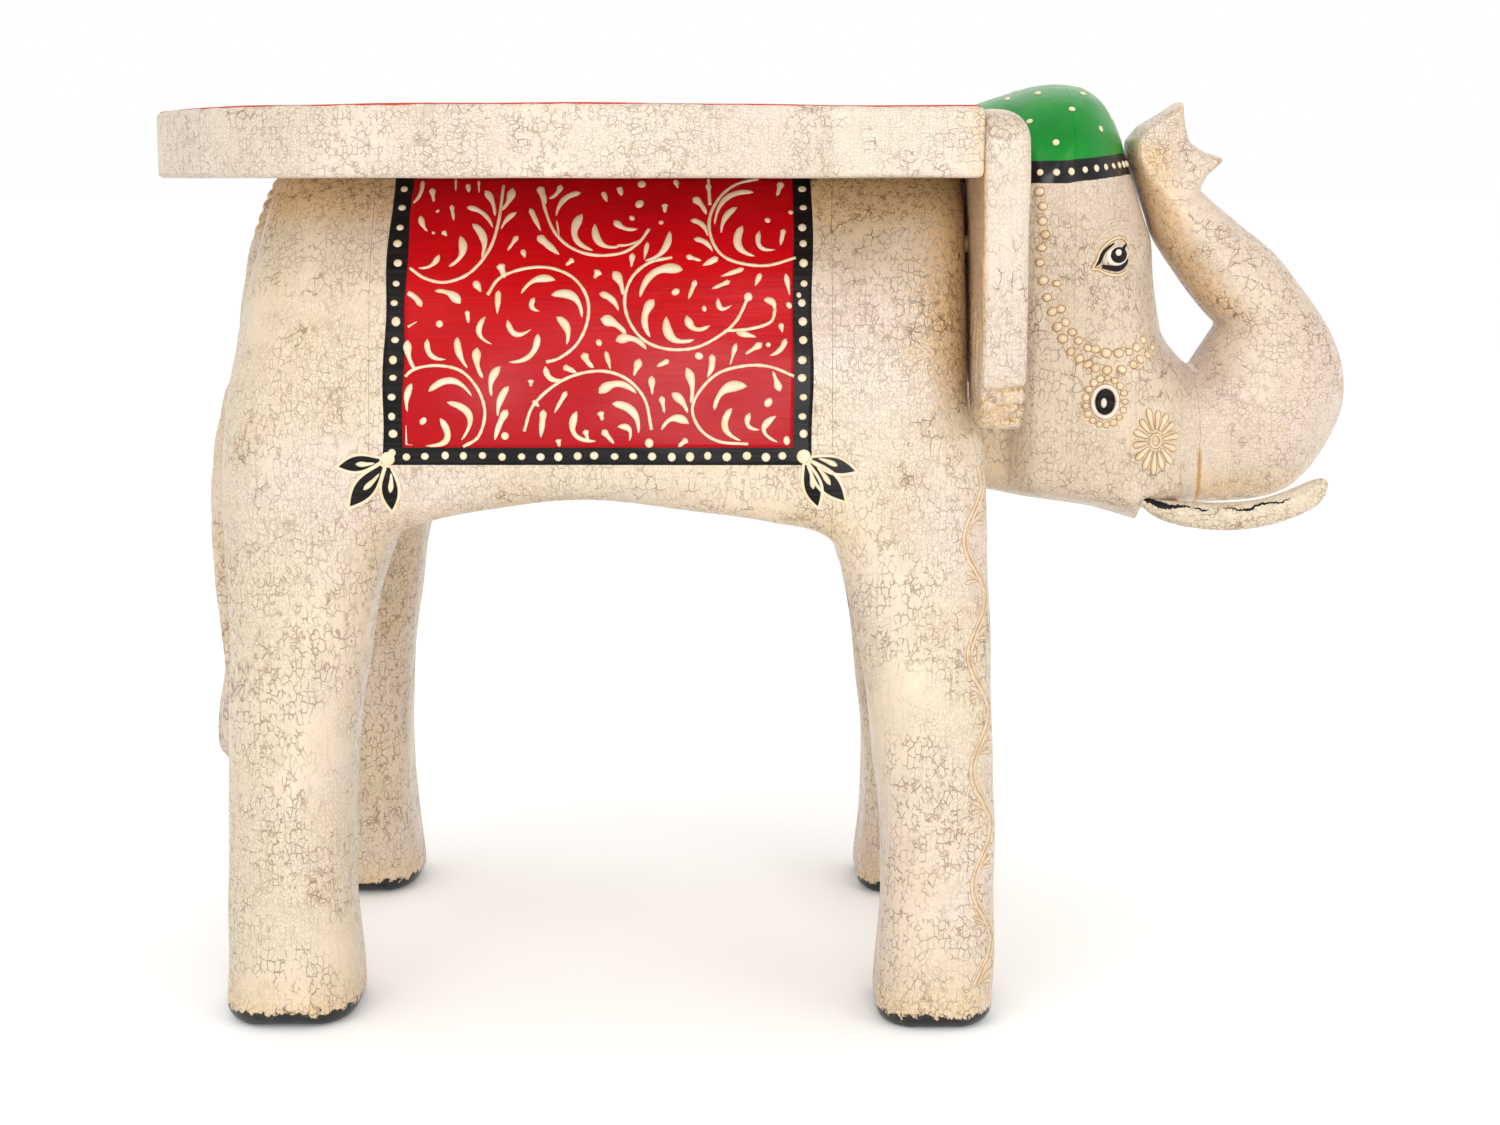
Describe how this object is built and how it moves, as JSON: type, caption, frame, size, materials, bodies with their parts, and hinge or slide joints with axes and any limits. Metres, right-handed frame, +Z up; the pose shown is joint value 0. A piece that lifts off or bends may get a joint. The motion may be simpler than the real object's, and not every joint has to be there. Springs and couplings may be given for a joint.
{
  "type": "carved elephant stool",
  "caption": "Carved wooden elephant that stands on its feet and carries a flat round seat on its back, painted cream crackle with a red patterned saddle cloth and a green cap.",
  "frame": {"origin": "bottom centre of the whole object's box, on the floor", "axes": "+X from tail to trunk, +Y to the elephant's left, +Z up from the floor to the seat"},
  "size_m": [0.4219, 0.293, 0.3119],
  "materials": {
    "crackle_paint": "cream paint over carved wood, crackled all over, under a gloss varnish",
    "saddle_paint": "gloss red field with raised cream scrolls and a black dotted border, on crackled cream",
    "head_paint": "crackled cream with a gloss green cap, a black dotted band and painted eyes",
    "seat_paint": "gloss orange-red top with cream scrolls and a crackled cream rim",
    "bare_wood": "bare sawn hardwood, inside the glued body",
    "screw_steel": "plain zinc-plated steel"
  },
  "bodies": {
    "root": {"seat_top": "seat_paint", "seat_screws": "screw_steel", "seat_screw_plugs": "seat_paint", "core_block": "bare_wood", "body_dowels": "bare_wood", "flank_left": "saddle_paint", "flank_right": "saddle_paint", "front_leg_left": "crackle_paint", "front_leg_right": "crackle_paint", "rear_leg_left": "crackle_paint", "rear_leg_right": "crackle_paint", "head_rear_block": "head_paint", "head_front_block": "head_paint", "head_dowels": "bare_wood", "ear_left": "crackle_paint", "ear_right": "crackle_paint", "ear_dowels": "bare_wood", "trunk": "crackle_paint", "trunk_dowels": "bare_wood", "tusk_left": "crackle_paint", "tusk_right": "crackle_paint", "tusk_dowels": "bare_wood", "tail": "crackle_paint", "tail_pins": "bare_wood"}
  },
  "joints": []
}
